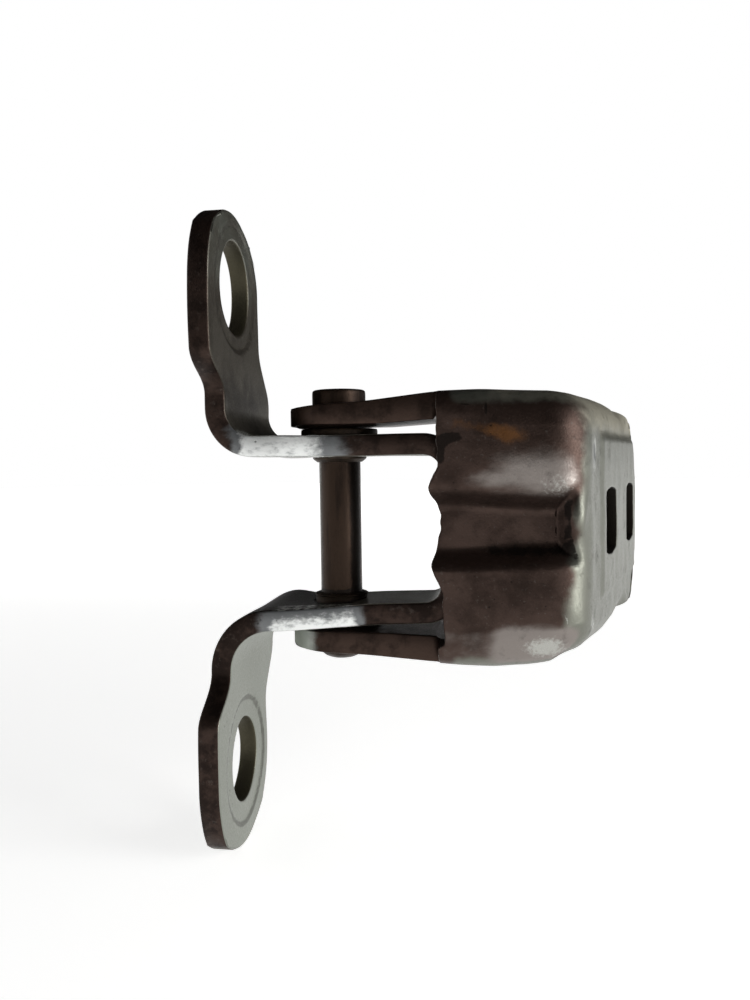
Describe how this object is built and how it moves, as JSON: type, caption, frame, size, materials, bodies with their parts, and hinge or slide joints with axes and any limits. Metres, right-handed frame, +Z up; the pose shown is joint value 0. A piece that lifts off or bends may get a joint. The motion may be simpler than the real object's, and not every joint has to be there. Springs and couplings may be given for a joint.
{
  "type": "vehicle door hinge",
  "caption": "Pressed-steel vehicle door hinge: folded pillar leaf with bolt flanges, deep-drawn door leaf with slots, and a riveted pin turning in flanged bushes.",
  "frame": {"origin": "on the hinge pin's axis, half way between the leaves' arms", "axes": "+Z up along the pin, +X from the pillar leaf's bolt flanges towards the door leaf's shell, +Y away from the shell's front wall, towards the back"},
  "size_m": [0.0844, 0.0732, 0.1202],
  "materials": {
    "pillar_leaf_steel": "phosphated sheet steel, worn bright on the sheared edges",
    "door_leaf_steel": "phosphated sheet steel with scuffs and light rust",
    "pin_steel": "dark drawn steel",
    "bush_bronze": "dull sintered bronze, oiled and dark"
  },
  "bodies": {
    "pillar_side": {"inner_leaf": "pillar_leaf_steel", "upper_bush": "bush_bronze", "lower_bush": "bush_bronze"},
    "door_side": {"outer_leaf": "door_leaf_steel", "hinge_pin": "pin_steel"}
  },
  "joints": [
    {"name": "door_swing", "type": "hinge", "parent": "pillar_side", "child": "door_side", "pos_m": [0, 0, 0], "axis": [0, 0, 1], "range_deg": [-70, 2]}
  ]
}
